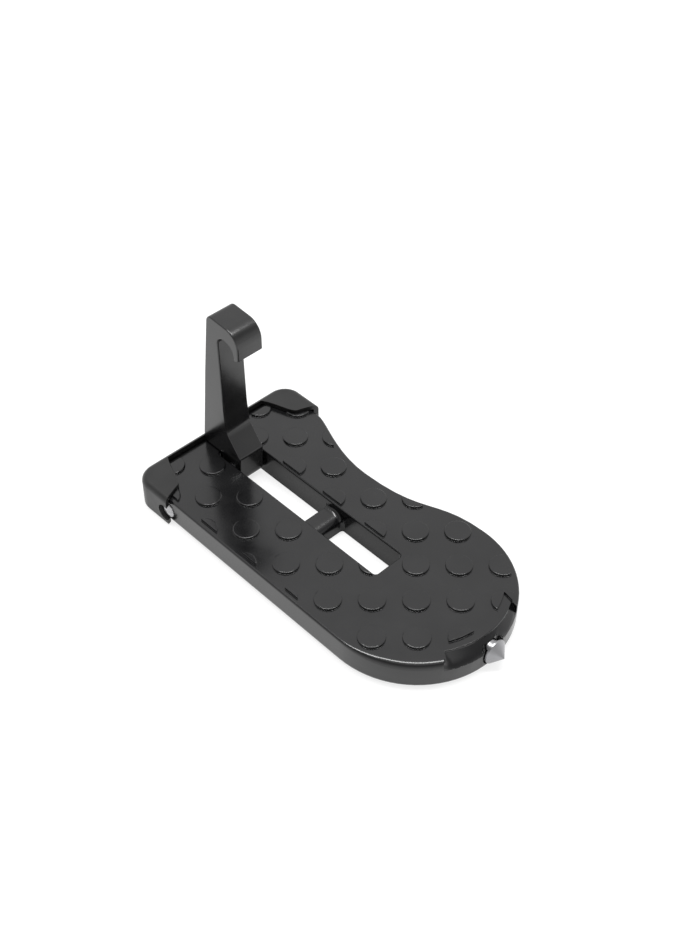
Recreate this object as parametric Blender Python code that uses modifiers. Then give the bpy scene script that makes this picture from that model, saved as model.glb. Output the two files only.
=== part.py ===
"""Door latch step: a folding steel hook on a die-cast foot plate, for reaching a car roof.

The hook drops over the striker of an open car door, its heel stops it upright on the plate,
and the plate is then a small foot rest. Folded, the hook lies in the slot along the plate.

Metres, +X from the hinge to the glass breaker, +Y across, +Z up. Plan sizes are measured from
the hinge axis, heights from the ground. The origin is on the ground under the middle.
"""

import math

import bmesh
import bpy
import numpy as np
from mathutils import Matrix, Vector

MM = 0.001

# Fits
GAP = 0.3 * MM  # between two pieces that touch
PIN_RUNNING_CLEARANCE = 0.05 * MM  # radial, hook on pin
HOOK_SIDE_CLEARANCE = 0.95 * MM  # hook to each slot wall
KNUCKLE_CLEARANCE = 1.1 * MM  # hook knuckle to the back of the slot
FOLD_CLEARANCE = 0.7 * MM  # folded shank to the bridge
RECESS_CLEARANCE = 0.6 * MM  # radial, round the glass breaker
PIN_NOTCH_CLEARANCE = 0.5 * MM  # radial, bumper round the pin's end

# Foot plate
PLATE_THICKNESS = 12.0 * MM
PLATE_HALF_WIDTH = 39.6 * MM  # straight side
PLATE_REAR = 17.0 * MM  # behind the hinge
REAR_CORNER_RADIUS = 6.0 * MM
REAR_HALF_WIDTH = 39.2 * MM  # waisted side, beside the hinge
FRONT_RADIUS = 39.8 * MM
FRONT_CENTRE = 100.3 * MM  # hinge to the centre of the round front
WAIST_FROM_HINGE = 44.0 * MM
WAIST_HALF_WIDTH = 29.0 * MM
HIP_FROM_HINGE = 4.6 * MM
TREAD_EDGE_ROUND = 0.9 * MM
FRONT_EDGE_ROUND = 2.6 * MM  # where the tread's edge softens, on the front left
FRONT_EDGE_SPAN = (-92.0, -62.0, -10.0, 25.0)  # degrees where that starts, is full and ends
BASE_EDGE_ROUND = 1.8 * MM

# How far each curve of the waisted side keeps the direction of its end, as a share of its length
SHOULDER_PULL = 0.47
WAIST_FRONT_PULL = 0.6
WAIST_REAR_PULL = 0.47
HIP_PULL = 0.14

# Slot, its bridge and the hinge bore
SLOT_FRONT = 86.6 * MM
SLOT_CORNER_RADIUS = 1.6 * MM
SLOT_CHAMFER = 0.8 * MM
BRIDGE_BACK = 44.4 * MM
BRIDGE_FRONT = 53.3 * MM
BRIDGE_BROW_LENGTH = 5.4 * MM
BRIDGE_BROW_HEIGHT = 4.0 * MM
BRIDGE_UNDERCUT = 0.6 * MM
BRIDGE_FILLET = 2.0 * MM
PIN_HEIGHT = 6.0 * MM

# Raised grip dots, on a slanted grid
DOT_RADIUS = 5.4 * MM
DOT_HEIGHT = 1.0 * MM
DOT_EDGE = 0.4 * MM
DOT_GRID_START = (107.7 * MM, -30.1 * MM)
DOT_GRID_STEP_A = (11.68 * MM, 11.92 * MM)
DOT_GRID_STEP_B = (-12.64 * MM, 12.70 * MM)
DOT_EDGE_MARGIN = 2.3 * MM
DOT_SLOT_MARGIN = 1.2 * MM
DOT_HEEL_MARGIN = 2.0 * MM
DOT_NOSE_MARGIN = 3.0 * MM
DOT_SMALLEST_SHARE = 0.06  # of a dot that an edge crops; less is left out

# Nose: the tread is set back round the glass breaker and its edge is rolled down
NOSE_SETBACK = 3.4 * MM  # how much less its radius is than the front's
NOSE_SHIFT = (-0.8 * MM, 3.2 * MM)  # its centre from the front's centre
NOSE_LEFT = math.radians(-31.1)
NOSE_RIGHT = math.radians(28.0)
NOSE_LEFT_JOG = math.radians(-48.0)
NOSE_RIGHT_JOG = math.radians(-10.0)
NOSE_STEP = 1.0 * MM
NOSE_EDGE_ROUND = 0.6 * MM
NOSE_ROLL = 3.2 * MM

# Pockets in the underside
SKIN = 3.4 * MM
RIM_WALL = 3.2 * MM
RIB = 2.8 * MM
POCKET_LENGTH = 13.2 * MM
POCKET_WIDTH = 11.8 * MM
POCKET_DRAFT = 0.6 * MM
POCKET_CORNER = 1.8 * MM
PIN_BOSS_HALF = 6.4 * MM

# Hook, a forged bar
HOOK_WIDTH = 12.6 * MM
HOOK_EDGE = 0.6 * MM
KNUCKLE_RADIUS = 5.9 * MM
HOOK_TOP = 83.4 * MM
HOOK_TOP_FALL = 1.2 * MM  # from the back of the head to its front
HEAD_RADIUS = 7.2 * MM
HEAD_BACK_RADIUS = 3.2 * MM
HOOK_BACK_TOP = 8.8 * MM
HOOK_BACK_MIDDLE = (12.7 * MM, 53.0 * MM)
HOOK_BACK_FOOT = 16.9 * MM
HEEL_HEIGHT = 16.8 * MM
HEEL_CORNER = 0.9 * MM
HOOK_NOSE = 9.3 * MM
LIP_THICKNESS = 3.0 * MM
LIP_BOTTOM = 68.4 * MM
LIP_BOTTOM_RISE = 1.7 * MM
LIP_CORNER = 0.7 * MM
MOUTH_TOP = 75.8 * MM
MOUTH_REAR_RADIUS = 3.6 * MM
MOUTH_FRONT_RADIUS = 4.8 * MM
SHANK_FRONT = 2.9 * MM
SHANK_FRONT_LOW = 2.2 * MM
SHANK_BEND_HEIGHT = 36.0 * MM
SHANK_FOOT = 1.2 * MM
SHANK_FOOT_HEIGHT = 25.8 * MM
TOE_SWEEP_RADIUS = 7.0 * MM
TOE_REACH = 6.4 * MM
TOE_HEIGHT = 15.9 * MM
TOE_RADIUS = 2.0 * MM

# Hinge pin
PIN_RADIUS = 3.2 * MM
PIN_PROUD = 0.6 * MM
PIN_FAR_END = 30.0 * MM
PIN_CHAMFER = 0.4 * MM

# Rubber bumper round the rear of the plate
BUMPER_SIDE_WALL = 2.1 * MM
BUMPER_WEB = 2.1 * MM
BUMPER_TAB = 2.1 * MM
BUMPER_FLANGE = 1.8 * MM
BUMPER_ROUND = 2.6 * MM
BUMPER_BASE_ROUND = 0.8 * MM
FLANGE_FRONT = -5.0 * MM
TAB_ROOT = 16.4 * MM  # how far the tab reaches in from the side, at the web
TAB_SHOULDER = (-1.7 * MM, 9.1 * MM)  # where its two curves meet: x, and how far in
TAB_FRONT = 1.6 * MM
TAB_ROOT_PULL = ((6.3 * MM, -4.0 * MM), (-0.9 * MM, 2.9 * MM))
TAB_FRONT_PULL = ((0.5 * MM, -2.3 * MM), (-0.5 * MM, 2.0 * MM))

# Glass breaker
BREAKER_HEIGHT = 6.0 * MM
BREAKER_OFFSET = 1.6 * MM  # to the right of the round front's centre
BREAKER_STANDS = 0.7 * MM  # its cone's base ahead of the plate
BREAKER_CONE = 4.3 * MM
BREAKER_COLLAR = 2.8 * MM  # from the cone's base to its seat
BREAKER_RIM = 0.8 * MM
BREAKER_RADIUS = 5.2 * MM
NECK_RADIUS = 4.0 * MM
BREAKER_POINT = 0.25 * MM
SHANK_RADIUS = 3.4 * MM
SHANK_LENGTH = 16.0 * MM
SHANK_CHAMFER = 1.0 * MM

# Sizes that follow from the ones above
FRONT_OFFSET = FRONT_RADIUS - PLATE_HALF_WIDTH
SLOT_HALF = HOOK_WIDTH / 2 + HOOK_SIDE_CLEARANCE
SLOT_REAR = -(KNUCKLE_RADIUS + KNUCKLE_CLEARANCE)
TREAD = PLATE_THICKNESS
BRIDGE_TOP = PIN_HEIGHT + SHANK_FRONT - FOLD_CLEARANCE
BREAKER_SIDE = FRONT_OFFSET + BREAKER_OFFSET
BREAKER_BASE = FRONT_CENTRE + FRONT_RADIUS + BREAKER_STANDS
BREAKER_APEX = BREAKER_BASE + BREAKER_CONE
BREAKER_SEAT = BREAKER_BASE - BREAKER_COLLAR
SHANK_END = BREAKER_SEAT - SHANK_LENGTH
BUMPER_HALF_WIDTH = PLATE_HALF_WIDTH + GAP + BUMPER_SIDE_WALL
BUMPER_REAR = PLATE_REAR + GAP + BUMPER_WEB
BUMPER_TOP = TREAD + GAP + BUMPER_TAB
MIDDLE = (BREAKER_APEX - BUMPER_REAR) / 2

OVER = 5 * MM  # how far cutters and blanks reach past what they shape
RUN_OUT = 0.04 * MM  # how far a rounding crosses the face it runs into


# Outlines, as lists of (x, y) points that run anticlockwise


def arc(centre, radius, start, end, step=8.0):
    """Points along an arc, with angles in degrees."""
    count = max(2, math.ceil(abs(end - start) / step))
    angles = [math.radians(start + (end - start) * i / count) for i in range(count + 1)]
    return [(centre[0] + radius * math.cos(a), centre[1] + radius * math.sin(a)) for a in angles]


def sweep(p0, p1, p2, p3, count=10):
    """Points along a Bezier curve, without its last one."""
    points = []
    for i in range(count):
        t = i / count
        weights = ((1 - t) ** 3, 3 * t * (1 - t) ** 2, 3 * t * t * (1 - t), t ** 3)
        corners = (p0, p1, p2, p3)
        points.append(tuple(sum(w * p[k] for w, p in zip(weights, corners)) for k in (0, 1)))
    return points


def rounded(corners, step=15.0):
    """An outline from (x, y, radius) corners, each filleted by its radius."""
    points = []
    for i, (x, y, radius) in enumerate(corners):
        here = Vector((x, y))
        before = (Vector(corners[i - 1][:2]) - here).normalized()
        after = (Vector(corners[(i + 1) % len(corners)][:2]) - here).normalized()
        if radius <= 0:
            points.append((x, y))
            continue
        half = before.angle(after) / 2
        centre = here + (before + after).normalized() * radius / math.sin(half)
        first = here + before * radius / math.tan(half) - centre
        last = here + after * radius / math.tan(half) - centre
        turn = first.angle_signed(last)
        count = max(1, math.ceil(abs(math.degrees(turn)) / step))
        for k in range(count + 1):
            at = first.copy()
            at.rotate(Matrix.Rotation(-turn * k / count, 2))
            points.append(tuple(centre + at))
    return points


def inset(outline, distance):
    """The outline moved inwards by one distance, or by one for each point; outwards if negative."""
    distances = distance if isinstance(distance, list) else [distance] * len(outline)
    moved = []
    for i, (point, distance) in enumerate(zip(outline, distances)):
        here = Vector(point)
        into = (here - Vector(outline[i - 1])).normalized()
        out = (Vector(outline[(i + 1) % len(outline)]) - here).normalized()
        along = (into + out).normalized()
        normal = Vector((-along.y, along.x))
        moved.append(tuple(here + normal * distance / max(0.5, along.dot(out))))
    return moved


def inside(outline, x, y):
    """Whether a point lies inside an outline."""
    found = False
    for (x0, y0), (x1, y1) in zip(outline, outline[1:] + outline[:1]):
        if (y0 > y) != (y1 > y) and x < x0 + (x1 - x0) * (y - y0) / (y1 - y0):
            found = not found
    return found


def plate_outline():
    """Straight on the left, round at the front and waisted on the right."""
    front = arc((FRONT_CENTRE, FRONT_OFFSET), FRONT_RADIUS, -90, 90, 4.5)
    x, y = front[-1]
    waist = (WAIST_FROM_HINGE, WAIST_HALF_WIDTH)
    hip = (HIP_FROM_HINGE, REAR_HALF_WIDTH)
    reach = x - waist[0]
    shoulder = sweep(
        (x, y), (x - SHOULDER_PULL * reach, y), (waist[0] + WAIST_FRONT_PULL * reach, waist[1]), waist
    )
    reach = waist[0] - hip[0]
    flank = sweep(
        waist, (waist[0] - WAIST_REAR_PULL * reach, waist[1]), (hip[0] + HIP_PULL * reach, hip[1]), hip
    )
    r = REAR_CORNER_RADIUS
    corner_x = r - PLATE_REAR
    rear_right = arc((corner_x, REAR_HALF_WIDTH - r), r, 90, 180, 15)
    rear_left = arc((corner_x, r - PLATE_HALF_WIDTH), r, 180, 270, 15)
    return front[:-1] + shoulder + flank + [hip] + rear_right + rear_left


def edge_rounds(outline):
    """The radius of the tread's edge at each point of the outline, larger on the front left."""
    rounds = []
    for x, y in outline:
        turn = math.degrees(math.atan2(y - FRONT_OFFSET, x - FRONT_CENTRE))
        soft = float(np.interp(turn, FRONT_EDGE_SPAN, (0, 1, 1, 0)))
        rounds.append(TREAD_EDGE_ROUND + (FRONT_EDGE_ROUND - TREAD_EDGE_ROUND) * soft)
    return rounds


def nose_centre():
    return (FRONT_CENTRE + NOSE_SHIFT[0], FRONT_OFFSET + NOSE_SHIFT[1])


def nose_sector():
    """The part of the front that the nose takes, out to well past the plate's edge."""
    radius = FRONT_RADIUS - NOSE_SETBACK
    reach = FRONT_RADIUS
    sides = []
    for start, jog in ((NOSE_LEFT, NOSE_LEFT_JOG), (NOSE_RIGHT, NOSE_RIGHT_JOG)):
        x = nose_centre()[0] + radius * math.cos(start)
        y = nose_centre()[1] + radius * math.sin(start)
        out = (math.cos(jog), math.sin(jog))
        sides.append([(x - out[0] * OVER, y - out[1] * OVER), (x + out[0] * reach, y + out[1] * reach)])
    left, right = sides
    return left + right[::-1]


def tab_edge(clearance=0.0):
    """The inner edge of the left tab, from the rear web to the side."""
    root = (-PLATE_REAR - GAP, TAB_ROOT)
    front = (TAB_FRONT, 0.0)
    points = []
    for start, end, pull in (
        (root, TAB_SHOULDER, TAB_ROOT_PULL), (TAB_SHOULDER, front, TAB_FRONT_PULL)
    ):
        leave = (start[0] + pull[0][0], start[1] + pull[0][1])
        arrive = (end[0] + pull[1][0], end[1] + pull[1][1])
        points += sweep(start, leave, arrive, end, 8)
    side = BUMPER_HALF_WIDTH
    return [(x + clearance, y + clearance - side) for x, y in points + [front]]


def bumper_window(front, clearance=0.0, reach=0.0):
    """What the bumper leaves free in plan, ahead of its web and between its tabs."""
    side = BUMPER_HALF_WIDTH + OVER + reach
    left = tab_edge(clearance) + [(TAB_FRONT + clearance, -side)]
    right = [(x, -y) for x, y in reversed(left)]
    return left + [(front, -side), (front, side)] + right


# Solids


def to_mesh(drawn, coll):
    """A curve's filled shape as a mesh object in its place."""
    bpy.context.view_layer.update()
    seen = drawn.evaluated_get(bpy.context.evaluated_depsgraph_get())
    mesh = bpy.data.meshes.new_from_object(seen)
    solid = bpy.data.objects.new(drawn.name + "_solid", mesh)
    solid.matrix_world = drawn.matrix_world.copy()
    name = drawn.name
    bpy.data.objects.remove(drawn)
    solid.name = name
    coll.objects.link(solid)
    bm = bmesh.new()
    bm.from_mesh(mesh)
    bmesh.ops.remove_doubles(bm, verts=bm.verts, dist=1e-6)
    bmesh.ops.dissolve_limit(bm, angle_limit=0.002, verts=bm.verts, edges=bm.edges)
    bmesh.ops.recalc_face_normals(bm, faces=bm.faces)
    bm.to_mesh(mesh)
    bm.free()
    return solid


def prism(name, outline, low, high, coll):
    """A flat outline in plan, raised from low to high."""
    curve = bpy.data.curves.new(name, "CURVE")
    curve.dimensions = "2D"
    curve.fill_mode = "BOTH"
    curve.extrude = (high - low) / 2
    spline = curve.splines.new("POLY")
    spline.points.add(len(outline) - 1)
    for point, (x, y) in zip(spline.points, outline):
        point.co = (x, y, 0, 1)
    spline.use_cyclic_u = True
    drawn = bpy.data.objects.new(name, curve)
    coll.objects.link(drawn)
    drawn.location.z = (low + high) / 2
    return to_mesh(drawn, coll)


def side_prism(name, outline, half_width, coll):
    """A side view of (x, z) points, as wide as twice half_width across the plate."""
    solid = prism(name, outline, -half_width, half_width, coll)
    solid.matrix_world = Matrix.Rotation(math.pi / 2, 4, "X")
    apply_place(solid)
    return solid


def loft(name, rings, coll):
    """A closed body through rings of as many points each, capped at both ends."""
    bm = bmesh.new()
    made = [[bm.verts.new(point) for point in ring] for ring in rings]
    for one, two in zip(made, made[1:]):
        for i in range(len(one)):
            bm.faces.new((one[i - 1], one[i], two[i], two[i - 1]))
    bm.faces.new(made[0])
    bm.faces.new(made[-1])
    bmesh.ops.recalc_face_normals(bm, faces=bm.faces)
    mesh = bpy.data.meshes.new(name)
    bm.to_mesh(mesh)
    bm.free()
    solid = bpy.data.objects.new(name, mesh)
    coll.objects.link(solid)
    return solid


def turned(name, profile, axis, coll, segments=48):
    """A profile of (radius, height) points turned about its height axis."""
    bm = bmesh.new()
    points = [bm.verts.new((r, 0, h)) for r, h in profile]
    for a, b in zip(points, points[1:]):
        bm.edges.new((a, b))
    if profile[0][0] > 0:
        bm.edges.new((points[-1], points[0]))
    mesh = bpy.data.meshes.new(name)
    bm.to_mesh(mesh)
    bm.free()
    solid = bpy.data.objects.new(name, mesh)
    coll.objects.link(solid)
    screw = solid.modifiers.new("turn", "SCREW")
    screw.angle = math.tau
    screw.steps = segments
    screw.render_steps = segments
    screw.use_merge_vertices = True
    screw.merge_threshold = 1e-6
    settle(solid)
    solid.matrix_world = axis
    apply_place(solid)
    return solid


def cylinder(name, radius, start, end, coll, segments=48):
    """A round bar between two points."""
    start, end = Vector(start), Vector(end)
    bm = bmesh.new()
    bmesh.ops.create_cone(
        bm, cap_ends=True, segments=segments, radius1=radius, radius2=radius,
        depth=(end - start).length,
    )
    turn = (end - start).to_track_quat("Z", "Y").to_matrix().to_4x4()
    bm.transform(Matrix.Translation((start + end) / 2) @ turn)
    mesh = bpy.data.meshes.new(name)
    bm.to_mesh(mesh)
    bm.free()
    solid = bpy.data.objects.new(name, mesh)
    coll.objects.link(solid)
    return solid


def apply_place(solid):
    """Moves an object's placing into its mesh."""
    solid.data.transform(solid.matrix_world)
    solid.matrix_world = Matrix.Identity(4)


def settle(solid):
    """Makes an object's modifiers part of its mesh."""
    bpy.context.view_layer.update()
    seen = solid.evaluated_get(bpy.context.evaluated_depsgraph_get())
    mesh = bpy.data.meshes.new_from_object(seen)
    solid.modifiers.clear()
    solid.data = mesh


def combine(solid, other, operation):
    """Cuts, joins or crops a solid by another one."""
    step = solid.modifiers.new(other.name, "BOOLEAN")
    step.operation = operation
    step.solver = "EXACT"
    step.object = other


def round_rim(solid, level, width, segments, axis=2):
    """Rounds the sharp edges that lie in one plane of a prism."""
    bm = bmesh.new()
    bm.from_mesh(solid.data)
    edges = [
        e for e in bm.edges
        if all(abs((solid.matrix_world @ v.co)[axis] - level) < 1e-5 for v in e.verts)
        and e.calc_face_angle(0) > 1.0
    ]
    bmesh.ops.bevel(
        bm, geom=edges, offset=width, segments=segments, profile=0.5, affect="EDGES",
        clamp_overlap=False,
    )
    bm.to_mesh(solid.data)
    bm.free()


# Pieces


def tread_dots(cutters):
    """The raised dots, cropped along the plate's edge, the slot, the nose and the bumper."""
    zone = inset(plate_outline(), DOT_EDGE_MARGIN)
    window = bumper_window(BREAKER_APEX, GAP)
    half = SLOT_HALF + DOT_SLOT_MARGIN
    heel = -HOOK_BACK_FOOT - DOT_HEEL_MARGIN
    front = SLOT_FRONT + DOT_SLOT_MARGIN
    band = [(heel, -half), (front, -half), (front, half), (heel, half)]
    bm = bmesh.new()
    for i in range(-6, 5):
        for j in range(0, 9):
            x = DOT_GRID_START[0] + i * DOT_GRID_STEP_A[0] + j * DOT_GRID_STEP_B[0]
            y = DOT_GRID_START[1] + i * DOT_GRID_STEP_A[1] + j * DOT_GRID_STEP_B[1]
            if free_share(x, y, (zone, window), (band,)) >= DOT_SMALLEST_SHARE:
                add_dot(bm, x, y)
    mesh = bpy.data.meshes.new("tread_dots")
    bm.to_mesh(mesh)
    bm.free()
    dots = bpy.data.objects.new("tread_dots", mesh)
    cutters.objects.link(dots)
    top = TREAD + OVER
    combine(dots, prism("dot_zone", zone, 0, top, cutters), "INTERSECT")
    combine(dots, prism("dot_window", window, 0, top, cutters), "INTERSECT")
    combine(dots, prism("dot_slot_band", band, 0, top, cutters), "DIFFERENCE")
    combine(dots, nose_cutter("dot_nose", DOT_NOSE_MARGIN, cutters), "DIFFERENCE")
    settle(dots)
    return dots


def add_dot(bm, x, y, segments=24):
    """One dot with a rounded top edge, rooted in the tread."""
    root = 1.5 * MM
    made = bmesh.ops.create_cone(
        bm, cap_ends=True, segments=segments, radius1=DOT_RADIUS, radius2=DOT_RADIUS,
        depth=DOT_HEIGHT + root,
        matrix=Matrix.Translation((x, y, TREAD + (DOT_HEIGHT - root) / 2)),
    )
    top = TREAD + DOT_HEIGHT
    rim = {e for v in made["verts"] for e in v.link_edges}
    rim = [e for e in rim if all(abs(v.co.z - top) < 1e-6 for v in e.verts)]
    bmesh.ops.bevel(bm, geom=rim, offset=DOT_EDGE, segments=2, profile=0.5, affect="EDGES")


def free_share(x, y, within, outside):
    """How much of a dot stays on the tread, from 0 to 1."""
    free = 0.0
    total = 0.0
    for r in (0.25, 0.5, 0.75, 0.95):
        for a in range(0, 360, 15):
            px = x + r * DOT_RADIUS * math.cos(math.radians(a))
            py = y + r * DOT_RADIUS * math.sin(math.radians(a))
            kept = all(inside(outline, px, py) for outline in within)
            kept = kept and not any(inside(outline, px, py) for outline in outside)
            total += r
            free += r if kept and not on_nose(px, py) else 0.0
    return free / total


def on_nose(x, y):
    """Whether a point lies on the nose, or too near it for a dot."""
    away = math.dist((x, y), nose_centre())
    return away > FRONT_RADIUS - NOSE_SETBACK - DOT_NOSE_MARGIN and inside(nose_sector(), x, y)


def nose_cutter(name, margin, cutters):
    """The ring that sets the tread back round the nose and rolls its edge down."""
    shelf = TREAD - NOSE_STEP
    outer = FRONT_RADIUS + OVER
    inner = FRONT_RADIUS - 3 * OVER
    bend = (FRONT_RADIUS - NOSE_ROLL, shelf - NOSE_ROLL)
    profile = [(outer, TREAD + OVER), (outer, bend[1])]
    profile += arc(bend, NOSE_ROLL, 0, 90, 15) + [(inner, shelf), (inner, TREAD + OVER)]
    place = Matrix.Translation((FRONT_CENTRE, FRONT_OFFSET, 0))
    ring = turned(name, profile, place, cutters, 120)
    sector = prism(name + "_sector", nose_sector(), -OVER, TREAD + 2 * OVER, cutters)
    combine(ring, sector, "INTERSECT")
    edge = FRONT_RADIUS - NOSE_SETBACK - margin
    bend = (edge - NOSE_EDGE_ROUND, TREAD - NOSE_EDGE_ROUND + RUN_OUT)
    top = TREAD + 2 * OVER
    profile = [(0, top), (bend[0], top)] + arc(bend, NOSE_EDGE_ROUND, 90, 0, 30) + [(edge, 0), (0, 0)]
    tread = turned(name + "_tread", profile, Matrix.Translation((*nose_centre(), 0)), cutters, 120)
    combine(ring, tread, "DIFFERENCE")
    settle(ring)
    return ring


def slot_outline(grow=0.0):
    """The slot in plan, or a larger one round it."""
    half, r = SLOT_HALF + grow, SLOT_CORNER_RADIUS + grow
    back, front = SLOT_REAR - grow, SLOT_FRONT + grow
    return rounded([(back, -half, r), (front, -half, r), (front, half, r), (back, half, r)], 30)


def slot_cutter(cutters):
    """The slot for the hook, interrupted by the bridge, and the chamfer round its upper edge."""
    slot = prism("slot_cutter", slot_outline(), -OVER, TREAD + OVER, cutters)
    combine(slot, bridge(cutters), "DIFFERENCE")
    settle(slot)
    rings = [
        [(x, y, TREAD - SLOT_CHAMFER + grow) for x, y in slot_outline(grow)]
        for grow in (-SLOT_CHAMFER, SLOT_CHAMFER + RUN_OUT)
    ]
    return slot, loft("slot_chamfer", rings, cutters)


def bridge_outline(grow):
    """The bridge's side view, its front edge rolled down, larger by grow but for its base."""
    back, front = BRIDGE_BACK - grow, BRIDGE_FRONT - BRIDGE_BROW_LENGTH
    low = BRIDGE_TOP - BRIDGE_BROW_HEIGHT
    outline = [(back, BRIDGE_UNDERCUT), (front + BRIDGE_BROW_LENGTH + grow, BRIDGE_UNDERCUT)]
    for a in range(0, 91, 15):
        x = front + (BRIDGE_BROW_LENGTH + grow) * math.cos(math.radians(a))
        z = low + (BRIDGE_BROW_HEIGHT + grow) * math.sin(math.radians(a))
        outline.append((x, z))
    return outline + [(back, BRIDGE_TOP + grow)]


def bridge(cutters):
    """The web that ties the two sides of the slot, filleted into them all round."""
    sink = 0.1 * MM
    flare = []
    for a in range(0, 91, 15):
        turn = math.radians(a)
        y = SLOT_HALF + sink - BRIDGE_FILLET * (1 - math.sin(turn))
        flare.append((y, BRIDGE_FILLET * (1 - math.cos(turn))))
    flare.append((SLOT_HALF + 2 * BRIDGE_FILLET, BRIDGE_FILLET))
    stations = [(-y, grow) for y, grow in reversed(flare)] + flare
    rings = [[(x, y, z) for x, z in bridge_outline(grow)] for y, grow in stations]
    return loft("bridge", rings, cutters)


def pocket_cutter(cutters):
    """Drafted pockets in two rows on each side of the slot, cropped by the rim wall."""
    bm = bmesh.new()
    zone = inset(plate_outline(), RIM_WALL)
    pitch = POCKET_LENGTH + RIB
    for i in range(math.ceil((max(zone)[0] - PIN_BOSS_HALF) / pitch)):
        x = PIN_BOSS_HALF + i * pitch + POCKET_LENGTH / 2
        for row in (0, 1):
            away = SLOT_HALF + RIM_WALL + row * (POCKET_WIDTH + RIB) + POCKET_WIDTH / 2
            for side in (-1, 1):
                if pocket_fits(x, side * away, side, zone):
                    add_pocket(bm, x, side * away)
    mesh = bpy.data.meshes.new("pockets")
    bm.to_mesh(mesh)
    bm.free()
    pockets = bpy.data.objects.new("pockets", mesh)
    cutters.objects.link(pockets)
    combine(pockets, prism("pocket_zone", zone, -OVER, TREAD, cutters), "INTERSECT")
    settle(pockets)
    return pockets


def pocket_fits(x, y, side, zone):
    """Whether most of a pocket lies inside the rim wall."""
    reach = POCKET_WIDTH / 4 if x < FRONT_CENTRE else POCKET_WIDTH / 2
    return inside(zone, x, y + side * reach) and inside(zone, x + POCKET_LENGTH / 4, y)


def add_pocket(bm, x, y):
    """One pocket, wider at its mouth, with rounded corners."""
    made = bmesh.ops.create_cube(bm, size=1.0)["verts"]
    for v in made:
        top = v.co.z > 0
        trim = 2 * POCKET_DRAFT if top else 0.0
        v.co.x = x + v.co.x * (POCKET_LENGTH - trim)
        v.co.y = y + v.co.y * (POCKET_WIDTH - trim)
        v.co.z = PLATE_THICKNESS - SKIN if top else -OVER
    edges = {e for v in made for e in v.link_edges}
    upright = [e for e in edges if abs(e.verts[0].co.z - e.verts[1].co.z) > MM]
    bmesh.ops.bevel(bm, geom=upright, offset=POCKET_CORNER, segments=2, profile=0.5,
                    affect="EDGES")


def step_plate(coll, cutters):
    """The die-cast foot plate, one casting."""
    plate = plate_blank(coll)
    combine(plate, tread_dots(cutters), "UNION")
    combine(plate, nose_cutter("nose_cutter", 0.0, cutters), "DIFFERENCE")
    slot, chamfer = slot_cutter(cutters)
    combine(plate, slot, "DIFFERENCE")
    combine(plate, chamfer, "DIFFERENCE")
    combine(plate, pocket_cutter(cutters), "DIFFERENCE")
    combine(plate, flange_seat(cutters), "DIFFERENCE")
    combine(plate, pin_bore(cutters), "DIFFERENCE")
    for cutter in breaker_seat(cutters):
        combine(plate, cutter, "DIFFERENCE")
    return plate


def plate_blank(coll):
    """The plate without its openings, its edge rounded below and above."""
    outline = plate_outline()
    rounds = edge_rounds(outline)
    rings = []
    for a in (90, 60, 30, 0):
        out, up = math.cos(math.radians(a)), math.sin(math.radians(a))
        ring = inset(outline, BASE_EDGE_ROUND * (1 - out))
        rings.append([(x, y, BASE_EDGE_ROUND * (1 - up)) for x, y in ring])
    for a in (0, 22.5, 45, 67.5, 90):
        out, up = math.cos(math.radians(a)), math.sin(math.radians(a))
        ring = inset(outline, [r * (1 - out) for r in rounds])
        rings.append([(x, y, TREAD - r * (1 - up)) for (x, y), r in zip(ring, rounds)])
    return loft("step_plate", rings, coll)


def pin_bore(cutters):
    """The blind bore for the hinge pin, drilled from the straight side."""
    start = (0, -PLATE_HALF_WIDTH - OVER, PIN_HEIGHT)
    end = (0, PIN_FAR_END + GAP, PIN_HEIGHT)
    return cylinder("pin_bore", PIN_RADIUS + GAP, start, end, cutters)


def breaker_seat(cutters):
    """The recess round the glass breaker's collar, and the hole for its shank."""
    front = (BREAKER_APEX + OVER, BREAKER_SIDE, BREAKER_HEIGHT)
    seat = (BREAKER_SEAT - GAP, BREAKER_SIDE, BREAKER_HEIGHT)
    deep = (SHANK_END - GAP, BREAKER_SIDE, BREAKER_HEIGHT)
    recess = cylinder("breaker_recess", BREAKER_RADIUS + RECESS_CLEARANCE, seat, front, cutters)
    return recess, cylinder("breaker_hole", SHANK_RADIUS + GAP, deep, front, cutters)


def flange_seat(cutters):
    """The steps in the plate's underside that the bumper's lower flanges lie in."""
    side = BUMPER_HALF_WIDTH + OVER
    back, front = -BUMPER_REAR - OVER, FLANGE_FRONT + GAP
    outline = [(back, -side), (front, -side), (front, side), (back, side)]
    seat = prism("flange_seat", outline, -OVER, BUMPER_FLANGE + GAP, cutters)
    window = bumper_window(SLOT_FRONT, GAP)
    combine(seat, prism("flange_window", window, -2 * OVER, TREAD, cutters), "DIFFERENCE")
    settle(seat)
    return seat


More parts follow.
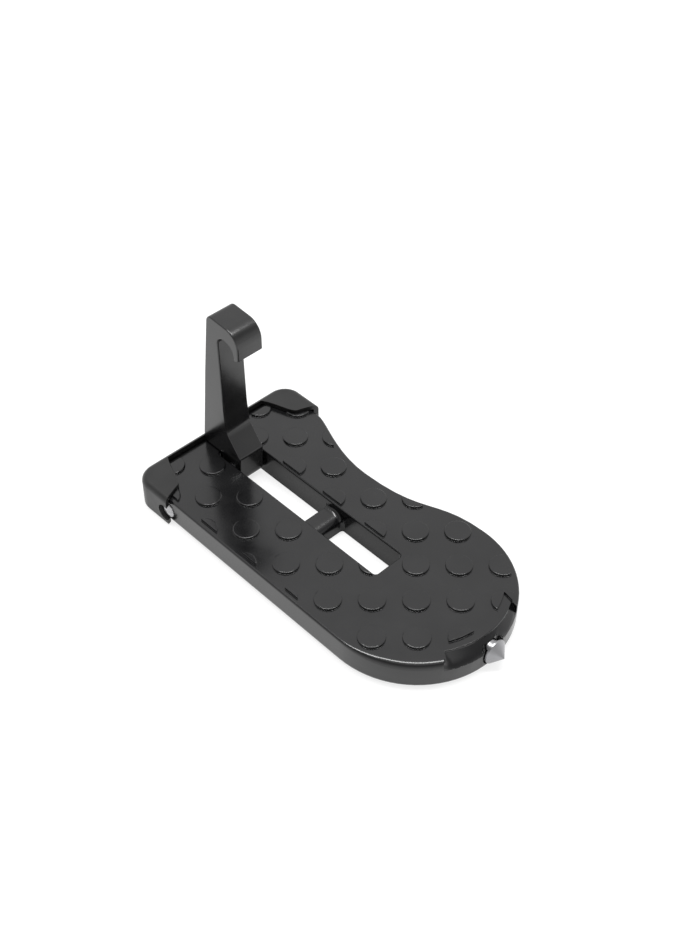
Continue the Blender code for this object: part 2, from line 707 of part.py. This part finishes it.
def hook_outline():
    """The hook's side view: heel, knuckle, toe, shank, mouth, lip, head and back."""
    heel = TREAD + GAP
    inner = HOOK_NOSE - LIP_THICKNESS
    knuckle = arc((0, PIN_HEIGHT), KNUCKLE_RADIUS, 180, 368, 9)
    return [
        (-HOOK_BACK_FOOT, heel, HEEL_CORNER),
        (-KNUCKLE_RADIUS, heel, HEEL_CORNER),
        *[(x, z, 0.0) for x, z in knuckle],
        (TOE_REACH, TOE_HEIGHT, TOE_RADIUS),
        (-SHANK_FOOT, SHANK_FOOT_HEIGHT, TOE_SWEEP_RADIUS),
        (-SHANK_FRONT_LOW, SHANK_BEND_HEIGHT, 4 * TOE_SWEEP_RADIUS),
        (-SHANK_FRONT, MOUTH_TOP, MOUTH_REAR_RADIUS),
        (inner, MOUTH_TOP, MOUTH_FRONT_RADIUS),
        (inner, LIP_BOTTOM, LIP_CORNER),
        (HOOK_NOSE, LIP_BOTTOM + LIP_BOTTOM_RISE, LIP_CORNER),
        (HOOK_NOSE, HOOK_TOP - HOOK_TOP_FALL, HEAD_RADIUS),
        (-HOOK_BACK_TOP, HOOK_TOP, HEAD_BACK_RADIUS),
        (-HOOK_BACK_MIDDLE[0], HOOK_BACK_MIDDLE[1], HOOK_BACK_MIDDLE[1]),
        (-HOOK_BACK_FOOT, HEEL_HEIGHT, 2 * HEEL_CORNER),
    ]


def hook(coll, cutters):
    """The forged hook, bored for the hinge pin. Its origin is on the hinge axis."""
    solid = side_prism("hook", rounded(hook_outline(), 9), HOOK_WIDTH / 2, coll)
    for side in (-1, 1):
        round_rim(solid, side * HOOK_WIDTH / 2, HOOK_EDGE, 2, axis=1)
    reach = HOOK_WIDTH / 2 + OVER
    bore = cylinder(
        "hook_bore", PIN_RADIUS + PIN_RUNNING_CLEARANCE, (0, -reach, PIN_HEIGHT),
        (0, reach, PIN_HEIGHT), cutters, 64,
    )
    combine(solid, bore, "DIFFERENCE")
    settle(solid)
    solid.data.transform(Matrix.Translation((0, 0, -PIN_HEIGHT)))
    solid.location = (0, 0, PIN_HEIGHT)
    return solid


def hinge_pin(coll):
    """The steel pin, pressed in from the straight side."""
    start, end = -PLATE_HALF_WIDTH - PIN_PROUD, PIN_FAR_END
    r, c = PIN_RADIUS, PIN_CHAMFER
    profile = [(0, end), (r - c, end), (r, end - c), (r, start + c), (r - c, start), (0, start)]
    place = Matrix.Translation((0, 0, PIN_HEIGHT)) @ Matrix.Rotation(-math.pi / 2, 4, "X")
    return turned("hinge_pin", profile, place, coll, 64)


def rear_bumper(coll, cutters):
    """The rubber bumper: a tab, side wall and flange at each rear corner, joined by a web."""
    back, side = -BUMPER_REAR, BUMPER_HALF_WIDTH
    r = REAR_CORNER_RADIUS + GAP + BUMPER_WEB
    front = TAB_FRONT + OVER
    outline = rounded([(back, -side, r), (front, -side, 0), (front, side, 0), (back, side, r)], 10)
    bumper = prism("rear_bumper", outline, 0, BUMPER_TOP, coll)
    round_rim(bumper, BUMPER_TOP, BUMPER_ROUND, 4)
    round_rim(bumper, 0.0, BUMPER_BASE_ROUND, 2)
    window = bumper_window(front + OVER)
    free = prism("bumper_window", window, -OVER, BUMPER_TOP + OVER, cutters)
    combine(bumper, free, "DIFFERENCE")
    body = inset(plate_outline(), -GAP)
    cavity = prism("bumper_cavity", body, BUMPER_FLANGE, TREAD + GAP, cutters)
    combine(bumper, cavity, "DIFFERENCE")
    inner = PLATE_HALF_WIDTH + GAP
    clear = [(FLANGE_FRONT, -inner), (front + OVER, -inner), (front + OVER, inner), (FLANGE_FRONT, inner)]
    combine(bumper, prism("flange_front", clear, -OVER, TREAD + GAP / 2, cutters), "DIFFERENCE")
    start = (0, -side - OVER, PIN_HEIGHT)
    end = (0, -inner + OVER, PIN_HEIGHT)
    notch = cylinder("pin_notch", PIN_RADIUS + PIN_NOTCH_CLEARANCE, start, end, cutters)
    combine(bumper, notch, "DIFFERENCE")
    return bumper


def breaker_tip(coll):
    """The screwed-in steel cone that breaks a window from inside, on a narrower neck."""
    r, s, c = BREAKER_RADIUS, SHANK_RADIUS, SHANK_CHAMFER
    profile = [
        (0, BREAKER_APEX),
        (BREAKER_POINT, BREAKER_APEX - BREAKER_POINT / 2),
        (r, BREAKER_BASE),
        (r, BREAKER_BASE - BREAKER_RIM),
        (NECK_RADIUS, BREAKER_BASE - BREAKER_RIM),
        (NECK_RADIUS, BREAKER_SEAT),
        (s, BREAKER_SEAT),
        (s, SHANK_END + c),
        (s - c, SHANK_END),
        (0, SHANK_END),
    ]
    turn = Matrix.Rotation(math.pi / 2, 4, "Y")
    place = Matrix.Translation((0, BREAKER_SIDE, BREAKER_HEIGHT)) @ turn
    return turned("breaker_tip", profile, place, coll, 48)


# Materials


def material(name, colour, roughness, metallic):
    """A plain surface."""
    made = bpy.data.materials.new(name)
    made.use_nodes = True
    shader = made.node_tree.nodes["Principled BSDF"]
    shader.inputs["Base Color"].default_value = (*colour, 1.0)
    shader.inputs["Roughness"].default_value = roughness
    shader.inputs["Metallic"].default_value = metallic
    return made


def black_coating():
    return material("black_coating", (0.045, 0.045, 0.047), 0.38, 0.0)


def hook_coating():
    return material("hook_coating", (0.05, 0.05, 0.052), 0.34, 0.0)


def pin_steel():
    return material("pin_steel", (0.55, 0.55, 0.56), 0.35, 1.0)


def bumper_rubber():
    return material("bumper_rubber", (0.03, 0.03, 0.03), 0.6, 0.0)


def tip_steel():
    return material("tip_steel", (0.72, 0.72, 0.73), 0.25, 1.0)


def collection(name):
    made = bpy.data.collections.new(name)
    bpy.context.scene.collection.children.link(made)
    return made


def finish(piece, surface, root):
    """Gives a piece its surface and hangs it on the step's root."""
    piece.data.materials.clear()
    piece.data.materials.append(surface)
    piece.data.shade_smooth()
    piece.data.set_sharp_from_angle(angle=math.radians(35))
    piece.parent = root


def main():
    for old in list(bpy.data.objects):
        bpy.data.objects.remove(old)
    step = collection("door_latch_step")
    cutters = collection("cutters")
    root = bpy.data.objects.new("step_root", None)
    step.objects.link(root)
    root.location = (-MIDDLE, 0, 0)
    finish(step_plate(step, cutters), black_coating(), root)
    finish(hook(step, cutters), hook_coating(), root)
    finish(hinge_pin(step), pin_steel(), root)
    finish(rear_bumper(step, cutters), bumper_rubber(), root)
    finish(breaker_tip(step), tip_steel(), root)
    for cutter in cutters.objects:
        cutter.hide_render = True
        cutter.display_type = "WIRE"
        cutter.parent = root


main()
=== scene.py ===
"""Looks of the door latch step: its coatings, steel and rubber, a plain studio and the camera."""

import math

import bmesh
import bpy
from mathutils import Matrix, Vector


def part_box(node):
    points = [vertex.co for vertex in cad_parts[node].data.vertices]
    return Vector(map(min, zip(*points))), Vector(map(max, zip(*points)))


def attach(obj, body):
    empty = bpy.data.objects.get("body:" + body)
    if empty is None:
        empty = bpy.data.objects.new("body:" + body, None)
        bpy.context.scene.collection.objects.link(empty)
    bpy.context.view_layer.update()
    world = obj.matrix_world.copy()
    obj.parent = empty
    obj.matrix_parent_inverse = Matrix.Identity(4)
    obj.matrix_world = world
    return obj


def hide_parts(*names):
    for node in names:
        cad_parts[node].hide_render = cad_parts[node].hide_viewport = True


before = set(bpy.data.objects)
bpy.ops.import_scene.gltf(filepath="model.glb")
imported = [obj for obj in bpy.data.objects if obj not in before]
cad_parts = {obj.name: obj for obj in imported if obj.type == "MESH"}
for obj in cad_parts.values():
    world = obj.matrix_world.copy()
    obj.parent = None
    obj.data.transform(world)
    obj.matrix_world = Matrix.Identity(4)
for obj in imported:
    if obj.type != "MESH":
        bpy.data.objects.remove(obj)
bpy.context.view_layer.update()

MM = 0.001

# Camera
CAMERA_PLACE = (0.27635, -0.2651, 0.4197)
CAMERA_AIM = (-0.51859, 0.49460, -0.69745)
SENSOR = 36.0
FOCAL_PIXELS = 1416.2
IMAGE_HEIGHT = 937.0  # the photograph's longer side, in pixels

# Studio: light on one side and dimmer on the other, even near the horizon and overhead.
# A span is where one level goes over to the next, in the direction's share of that side or of up.
DARK_SIDE = (0.7242, -0.6896, 0.0)
SIDE_SPAN = (-0.18, 0.14)
SIDE_LEVELS = (0.94, 0.30)
HORIZON_SPAN = (0.10, 0.70)
HORIZON_LEVEL = 0.9
ZENITH_SPAN = (0.80, 0.96)
ZENITH_LEVEL = 1.0
STRIP_PLACE = (-0.04, 0.065, 0.9)
STRIP_TURN = 45.5
STRIP_SIZE = (0.78, 0.20)
STRIP_POWER = 7.0

# Floor: pale to the camera and in reflections, with a painted shade in its reflections under the
# slot, where the object's shadow falls
FLOOR_SIZE = 6.0
FLOOR_LEVEL = -0.2 * MM
FLOOR_GREY = 0.30
FLOOR_FILL = 0.3  # what it gives off to matt surfaces
FLOOR_GLOW = 0.76
SLOT_PAINTED_SHADE_GLOW = 0.22
PAINTED_SHADE_LENGTH_SPAN = (0.055, 0.07)
PAINTED_SHADE_WIDTH_SPAN = (0.012, 0.02)

# Surfaces: the scales of their noises, in cycles a metre, the parts of their range that are
# drawn out in colour and roughness, and the depth of the grain
MOTTLE_SCALE = 60.0
MOTTLE_SPAN = (0.35, 0.65)
CLOUD_SCALE = 140.0
CLOUD_SPAN = (0.3, 0.7)
GRAIN_SCALE = 900.0
GRAIN_DEPTH = 0.05 * MM

# Finishing of the CAD shapes
WELD = 0.002 * MM
FLAT = 0.1  # degrees: faces that turn less are one face
CREASE = 50.0

# Nose of the plate: its shelf falls away from the tread's edge to the round front's rim
FRONT_CENTRE = (37.45 * MM, 0.2 * MM)
FRONT_RADIUS = 39.8 * MM
NOSE_CENTRE = (36.65 * MM, 3.4 * MM)
NOSE_RADIUS = 36.4 * MM
NOSE_SPAN = (-31.6, 28.5)
SHELF = 11.0 * MM
ROLL = 3.2 * MM
SHELF_RISE = 0.3 * MM
RIM_SHARE = 0.15  # how much of the fall belongs to the rim
ON_SURFACE = 0.03 * MM
PAST_RIM = 0.02 * MM

# End of the hinge pin: pressed in, slightly domed and knurled round its edge
PIN_TEETH = 26
PIN_TOOTH = 0.2 * MM
PIN_DENT = 0.6  # how far the knurl reaches over the dome, as a share of the tooth
PIN_CREASE = 40.0
PIN_DOME = 0.55 * MM
PIN_END_LENGTH = 3.4 * MM
PIN_GROWTH = 0.08 * MM  # over the plain pin's radius
PIN_STEPS = (0.0, 0.2, 0.4, 0.6, 0.75, 0.88, 1.0)
PIN_SHOULDER = 0.25 * MM

# Glass breaker
TIP_SEGMENTS = 96
TIP_POINT = 0.25 * MM
TIP_CONE = 4.3 * MM
TIP_RIM = 0.8 * MM
TIP_COLLAR = 2.8 * MM
TIP_NECK_RADIUS = 4.0 * MM
TIP_SHANK_RADIUS = 3.4 * MM
TIP_EDGE = 0.15 * MM
TIP_END_RADIUS = 0.02 * MM
TIP_CREASE = 25.0


# Materials


def tools(tree):
    """A node tree's nodes and links."""
    return tree.nodes, tree.links


def noise(nodes, links, coords, scale, detail, roughness=0.5):
    made = nodes.new("ShaderNodeTexNoise")
    made.inputs["Scale"].default_value = scale
    made.inputs["Detail"].default_value = detail
    made.inputs["Roughness"].default_value = roughness
    links.new(coords.outputs["Object"], made.inputs["Vector"])
    return made


def ramp(nodes, links, source, low, high):
    made = nodes.new("ShaderNodeValToRGB")
    for stop, place, colour in zip(made.color_ramp.elements, MOTTLE_SPAN, (low, high)):
        stop.position = place
        stop.color = (*colour, 1)
    links.new(source, made.inputs["Fac"])
    return made


def turned_steel(name, dark, light):
    """Steel with fine turning marks round the x axis, which draw its highlights out along it."""
    made = surface(name, dark, light, (0.24, 0.34), metallic=1.0)
    nodes, links = tools(made.node_tree)
    shader = nodes["Principled BSDF"]
    shader.inputs["Anisotropic"].default_value = 0.7
    shader.inputs["Anisotropic Rotation"].default_value = 0.25
    around = nodes.new("ShaderNodeTangent")
    around.direction_type = "RADIAL"
    around.axis = "X"
    links.new(around.outputs["Tangent"], shader.inputs["Tangent"])
    return made


def surface(name, dark, light, rough, metallic=0.0, bump=0.06, edge=0.0, ior=1.5):
    """A coated, moulded or machined surface with mottled colour, roughness and fine grain."""
    made = bpy.data.materials.new(name)
    made.use_nodes = True
    nodes, links = tools(made.node_tree)
    shader = nodes["Principled BSDF"]
    shader.inputs["Metallic"].default_value = metallic
    shader.inputs["IOR"].default_value = ior
    coords = nodes.new("ShaderNodeTexCoord")
    mottle = noise(nodes, links, coords, MOTTLE_SCALE, 4.0)
    colour = ramp(nodes, links, mottle.outputs["Fac"], dark, light)
    links.new(colour.outputs["Color"], shader.inputs["Base Color"])
    cloud = noise(nodes, links, coords, CLOUD_SCALE, 3.0)
    spread = nodes.new("ShaderNodeMapRange")
    spread.inputs["From Min"].default_value = CLOUD_SPAN[0]
    spread.inputs["From Max"].default_value = CLOUD_SPAN[1]
    spread.inputs["To Min"].default_value = rough[0]
    spread.inputs["To Max"].default_value = rough[1]
    links.new(cloud.outputs["Fac"], spread.inputs["Value"])
    links.new(spread.outputs["Result"], shader.inputs["Roughness"])
    fine = noise(nodes, links, coords, GRAIN_SCALE, 5.0, 0.6)
    relief = nodes.new("ShaderNodeBump")
    relief.inputs["Strength"].default_value = bump
    relief.inputs["Distance"].default_value = GRAIN_DEPTH
    links.new(fine.outputs["Fac"], relief.inputs["Height"])
    if edge:
        rim = nodes.new("ShaderNodeBevel")
        rim.samples = 6
        rim.inputs["Radius"].default_value = edge
        links.new(rim.outputs["Normal"], relief.inputs["Normal"])
    links.new(relief.outputs["Normal"], shader.inputs["Normal"])
    return made


# Pieces


def link(name, data):
    made = bpy.data.objects.new(name, data)
    bpy.context.scene.collection.objects.link(made)
    return made


def smooth(piece, crease):
    """Smooth curves and flat faces, sharp only where the surface turns more than crease."""
    mesh = piece.data
    for face in mesh.polygons:
        face.use_smooth = True
    mesh.set_sharp_from_angle(angle=math.radians(crease))
    weigh = piece.modifiers.new("flat_faces", "WEIGHTED_NORMAL")
    weigh.keep_sharp = True


def nose_level(radius, inner):
    """How high the nose's surface lies in the CAD, and in the finished piece, at a radius."""
    low = SHELF - ROLL
    out = min(1.0, max(0.0, (radius - FRONT_RADIUS + ROLL) / ROLL))
    plain = low + ROLL * math.sqrt(1 - out * out)
    share = min(1.0, max(0.0, (radius - inner) / (FRONT_RADIUS - inner)))
    fall = (1 - RIM_SHARE) * share + RIM_SHARE * share ** 8
    return plain, low + (ROLL + SHELF_RISE) * (1 - fall)


def ease_nose(bm):
    """Lets the nose's shelf and roll fall away evenly from the tread's edge."""
    off = Vector(NOSE_CENTRE) - Vector(FRONT_CENTRE)
    moved = []
    for v in bm.verts:
        ray = v.co.xy - Vector(FRONT_CENTRE)
        away = v.co.xy - Vector(NOSE_CENTRE)
        turn = math.degrees(math.atan2(away.y, away.x))
        if not NOSE_SPAN[0] < turn < NOSE_SPAN[1] or ray.length < FRONT_RADIUS - 2 * ROLL:
            continue
        along = off.dot(ray.normalized())
        inner = along + math.sqrt(NOSE_RADIUS ** 2 - off.length_squared + along ** 2)
        plain, eased = nose_level(ray.length, inner)
        if abs(v.co.z - plain) < ON_SURFACE and ray.length < FRONT_RADIUS + PAST_RIM:
            moved.append((v, eased))
    faces = {f for v, level in moved for f in v.link_faces if len(f.verts) > 3}
    bmesh.ops.triangulate(bm, faces=list(faces))
    for v, level in moved:
        v.co.z = level


def finished(node, body, material, reshape=None):
    """A CAD node's shape as a piece whose curves are smooth and whose flat faces are whole."""
    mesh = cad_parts[node].data.copy()
    custom = mesh.attributes.get("custom_normal")
    if custom:
        mesh.attributes.remove(custom)
    bm = bmesh.new()
    bm.from_mesh(mesh)
    bmesh.ops.remove_doubles(bm, verts=bm.verts, dist=WELD)
    flat = math.radians(FLAT)
    bmesh.ops.dissolve_limit(bm, angle_limit=flat, verts=bm.verts, edges=bm.edges)
    if reshape:
        reshape(bm)
    bm.to_mesh(mesh)
    bm.free()
    mesh.materials.clear()
    mesh.materials.append(material)
    piece = link(node + "_finish", mesh)
    smooth(piece, CREASE)
    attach(piece, body)
    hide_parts(node)


def rings_to_mesh(name, rings, material):
    """A closed piece through rings of as many points each, capped at both ends."""
    bm = bmesh.new()
    made = [[bm.verts.new(at) for at in ring] for ring in rings]
    for one, two in zip(made, made[1:]):
        for k in range(len(one)):
            bm.faces.new((one[k - 1], one[k], two[k], two[k - 1]))
    bm.faces.new(made[0])
    bm.faces.new(made[-1][::-1])
    bmesh.ops.recalc_face_normals(bm, faces=bm.faces)
    mesh = bpy.data.meshes.new(name)
    bm.to_mesh(mesh)
    bm.free()
    mesh.materials.append(material)
    return link(name, mesh)


def pin_end(material):
    """The hinge pin's pressed-in end, domed, with a knurled edge."""
    low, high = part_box("hinge_pin")
    centre = (low + high) / 2
    radius = (high.x - low.x) / 2 + PIN_GROWTH
    count = PIN_TEETH * 4
    steps = [(low.y - PIN_DOME * math.cos(r * math.pi / 2), 0.04 + 0.88 * r, 0.25 + 0.75 * r)
             for r in PIN_STEPS]
    steps += [(low.y + PIN_SHOULDER, 1.0, 1.0), (low.y + PIN_END_LENGTH, 1.0, 1.0)]
    rings = []
    for y, share, bite in steps:
        ring = []
        for k in range(count):
            turn = 2 * math.pi * k / count
            groove = (0.0, 0.5, 1.0, 0.5)[k % 4]
            out = radius * share - PIN_TOOTH * bite * share * groove
            x, z = centre.x + out * math.cos(turn), centre.z + out * math.sin(turn)
            dent = PIN_DENT * PIN_TOOTH * bite * groove if share < 1 else 0.0
            ring.append((x, y + dent, z))
        rings.append(ring)
    piece = rings_to_mesh("pin_end", rings, material)
    smooth(piece, PIN_CREASE)
    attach(piece, "plate")


def glass_breaker(material):
    """The turned steel cone with its rim, neck and shank."""
    low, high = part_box("breaker_tip")
    centre = (low + high) / 2
    radius = (high.y - low.y) / 2
    base = high.x - TIP_CONE
    steps = [
        (high.x, TIP_END_RADIUS),
        (high.x - TIP_POINT * 0.2, TIP_POINT * 0.7),
        (high.x - TIP_POINT * 0.5, TIP_POINT),
        (base + TIP_EDGE, radius - TIP_EDGE * 1.2),
        (base, radius - TIP_EDGE * 0.3),
        (base - TIP_EDGE, radius),
        (base - TIP_RIM + TIP_EDGE, radius),
        (base - TIP_RIM, radius - TIP_EDGE),
        (base - TIP_RIM, TIP_NECK_RADIUS),
        (base - TIP_COLLAR, TIP_NECK_RADIUS),
        (base - TIP_COLLAR, TIP_SHANK_RADIUS),
        (low.x + TIP_RIM, TIP_SHANK_RADIUS),
        (low.x, TIP_SHANK_RADIUS - TIP_RIM),
    ]
    rings = []
    for x, r in steps:
        turns = [2 * math.pi * k / TIP_SEGMENTS for k in range(TIP_SEGMENTS)]
        rings.append([(x, centre.y + r * math.cos(a), centre.z + r * math.sin(a)) for a in turns])
    piece = rings_to_mesh("breaker_cone", rings, material)
    smooth(piece, TIP_CREASE)
    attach(piece, "plate")
    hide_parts("breaker_tip")


# Studio


def fade(nodes, links, source, across, between):
    """A smooth change from one level to another as the source crosses a range."""
    made = nodes.new("ShaderNodeMapRange")
    made.interpolation_type = "SMOOTHSTEP"
    made.inputs["From Min"].default_value = across[0]
    made.inputs["From Max"].default_value = across[1]
    made.inputs["To Min"].default_value = between[0]
    made.inputs["To Max"].default_value = between[1]
    links.new(source, made.inputs["Value"])
    return made.outputs["Result"]


def blend(nodes, links, share, one, two):
    """A level that goes over from one source to a fixed one as the share grows."""
    made = nodes.new("ShaderNodeMix")
    made.data_type = "FLOAT"
    links.new(share, made.inputs["Factor"])
    links.new(one, made.inputs["A"])
    made.inputs["B"].default_value = two
    return made.outputs["Result"]


def maths(nodes, links, operation, *sources):
    """A number worked out from one or two others."""
    made = nodes.new("ShaderNodeMath")
    made.operation = operation
    for k, source in enumerate(sources):
        links.new(source, made.inputs[k])
    return made.outputs["Value"]


def mixed(nodes, links, share, one, two):
    """A shader that goes over from one to another as the share grows."""
    made = nodes.new("ShaderNodeMixShader")
    links.new(share, made.inputs["Fac"])
    links.new(one, made.inputs[1])
    links.new(two, made.inputs[2])
    return made.outputs["Shader"]


def sky():
    """A light, even studio, darker behind the camera, which itself sees plain white."""
    world = bpy.context.scene.world or bpy.data.worlds.new("studio")
    bpy.context.scene.world = world
    world.use_nodes = True
    nodes, links = tools(world.node_tree)
    nodes.clear()
    out = nodes.new("ShaderNodeOutputWorld")
    lit = nodes.new("ShaderNodeBackground")
    lit.inputs["Color"].default_value = (1, 1, 1, 1)
    direction = nodes.new("ShaderNodeTexCoord")
    toward = nodes.new("ShaderNodeVectorMath")
    toward.operation = "DOT_PRODUCT"
    toward.inputs[1].default_value = DARK_SIDE
    links.new(direction.outputs["Generated"], toward.inputs[0])
    split = nodes.new("ShaderNodeSeparateXYZ")
    links.new(direction.outputs["Generated"], split.inputs["Vector"])
    height = split.outputs["Z"]
    side = fade(nodes, links, toward.outputs["Value"], SIDE_SPAN, SIDE_LEVELS)
    horizon = fade(nodes, links, height, HORIZON_SPAN, (1.0, 0.0))
    zenith = fade(nodes, links, height, ZENITH_SPAN, (0.0, 1.0))
    low = blend(nodes, links, horizon, side, HORIZON_LEVEL)
    links.new(blend(nodes, links, zenith, low, ZENITH_LEVEL), lit.inputs["Strength"])
    seen = nodes.new("ShaderNodeBackground")
    seen.inputs["Color"].default_value = (1, 1, 1, 1)
    seen.inputs["Strength"].default_value = 1.0
    rays = nodes.new("ShaderNodeLightPath")
    shown = mixed(nodes, links, rays.outputs["Is Camera Ray"],
                  lit.outputs["Background"], seen.outputs["Background"])
    links.new(shown, out.inputs["Surface"])


def pale_paper():
    """The floor's material, which takes the object's shadow, and whose glow seen in reflections is
    lowered under the slot as painted shade.
    """
    paper = bpy.data.materials.new("pale_paper")
    paper.use_nodes = True
    nodes, links = tools(paper.node_tree)
    nodes.clear()
    out = nodes.new("ShaderNodeOutputMaterial")
    matt = nodes.new("ShaderNodeBsdfDiffuse")
    matt.inputs["Color"].default_value = (FLOOR_GREY, FLOOR_GREY, FLOOR_GREY, 1)
    fill = nodes.new("ShaderNodeEmission")
    fill.inputs["Strength"].default_value = FLOOR_FILL
    glow = nodes.new("ShaderNodeEmission")
    place = nodes.new("ShaderNodeTexCoord")
    split = nodes.new("ShaderNodeSeparateXYZ")
    links.new(place.outputs["Object"], split.inputs["Vector"])
    # Painted shade: the glow seen in glossy reflections drops to a lower level under the slot,
    # standing in for the object's shadow there
    levels = (SLOT_PAINTED_SHADE_GLOW, FLOOR_GLOW)
    off_x = maths(nodes, links, "ABSOLUTE", split.outputs["X"])
    off_y = maths(nodes, links, "ABSOLUTE", split.outputs["Y"])
    along = fade(nodes, links, off_x, PAINTED_SHADE_LENGTH_SPAN, levels)
    across = fade(nodes, links, off_y, PAINTED_SHADE_WIDTH_SPAN, levels)
    reflected_with_painted_shade = maths(nodes, links, "MAXIMUM", along, across)
    rays = nodes.new("ShaderNodeLightPath")
    by_camera, by_gloss = rays.outputs["Is Camera Ray"], rays.outputs["Is Glossy Ray"]
    seen = fade(nodes, links, by_camera, (0.0, 1.0), (0.0, FLOOR_GLOW))
    links.new(maths(nodes, links, "MAXIMUM", seen, reflected_with_painted_shade), glow.inputs["Strength"])
    either = maths(nodes, links, "MAXIMUM", by_camera, by_gloss)
    given = mixed(nodes, links, either, fill.outputs["Emission"], glow.outputs["Emission"])
    both = nodes.new("ShaderNodeAddShader")
    links.new(matt.outputs["BSDF"], both.inputs[0])
    links.new(given, both.inputs[1])
    links.new(both.outputs["Shader"], out.inputs["Surface"])
    return paper


def studio():
    """Plain soft light, a pale floor and the sky."""
    bpy.context.scene.view_settings.view_transform = "Standard"
    sky()
    bpy.ops.mesh.primitive_plane_add(size=FLOOR_SIZE, location=(0, 0, FLOOR_LEVEL))
    floor = bpy.context.object
    floor.name = "floor"
    floor.data.materials.append(pale_paper())
    light = bpy.data.lights.new("overhead_strip", "AREA")
    light.shape = "RECTANGLE"
    light.size, light.size_y = STRIP_SIZE
    light.energy = STRIP_POWER
    strip = link("overhead_strip", light)
    strip.location = STRIP_PLACE
    strip.rotation_euler = (0, 0, math.radians(STRIP_TURN))


def camera():
    data = bpy.data.cameras.new("camera")
    data.sensor_width = SENSOR
    data.lens = SENSOR * FOCAL_PIXELS / IMAGE_HEIGHT
    data.clip_start = 0.01
    seen_from = link("camera", data)
    seen_from.location = CAMERA_PLACE
    seen_from.rotation_euler = Vector(CAMERA_AIM).to_track_quat("-Z", "Y").to_euler()
    bpy.context.scene.camera = seen_from


def main():
    camera()
    studio()
    coat = surface("black_coat", (0.003, 0.003, 0.0035), (0.006, 0.006, 0.0065), (0.15, 0.22),
                   edge=0.25 * MM, ior=1.6)
    hook_coat = surface("hook_coat", (0.004, 0.004, 0.0045), (0.008, 0.008, 0.008), (0.18, 0.26),
                        edge=0.3 * MM, ior=1.62)
    rubber = surface("rubber", (0.005, 0.005, 0.005), (0.010, 0.010, 0.010), (0.32, 0.42), bump=0.2)
    pin = surface("pin_metal", (0.42, 0.42, 0.43), (0.60, 0.60, 0.61), (0.35, 0.5), 1.0)
    tip = turned_steel("tip_metal", (0.30, 0.30, 0.31), (0.40, 0.40, 0.41))
    finished("step_plate", "plate", coat, reshape=ease_nose)
    finished("hook", "hook", hook_coat)
    finished("rear_bumper", "plate", rubber)
    finished("hinge_pin", "plate", pin)
    pin_end(pin)
    glass_breaker(tip)


main()
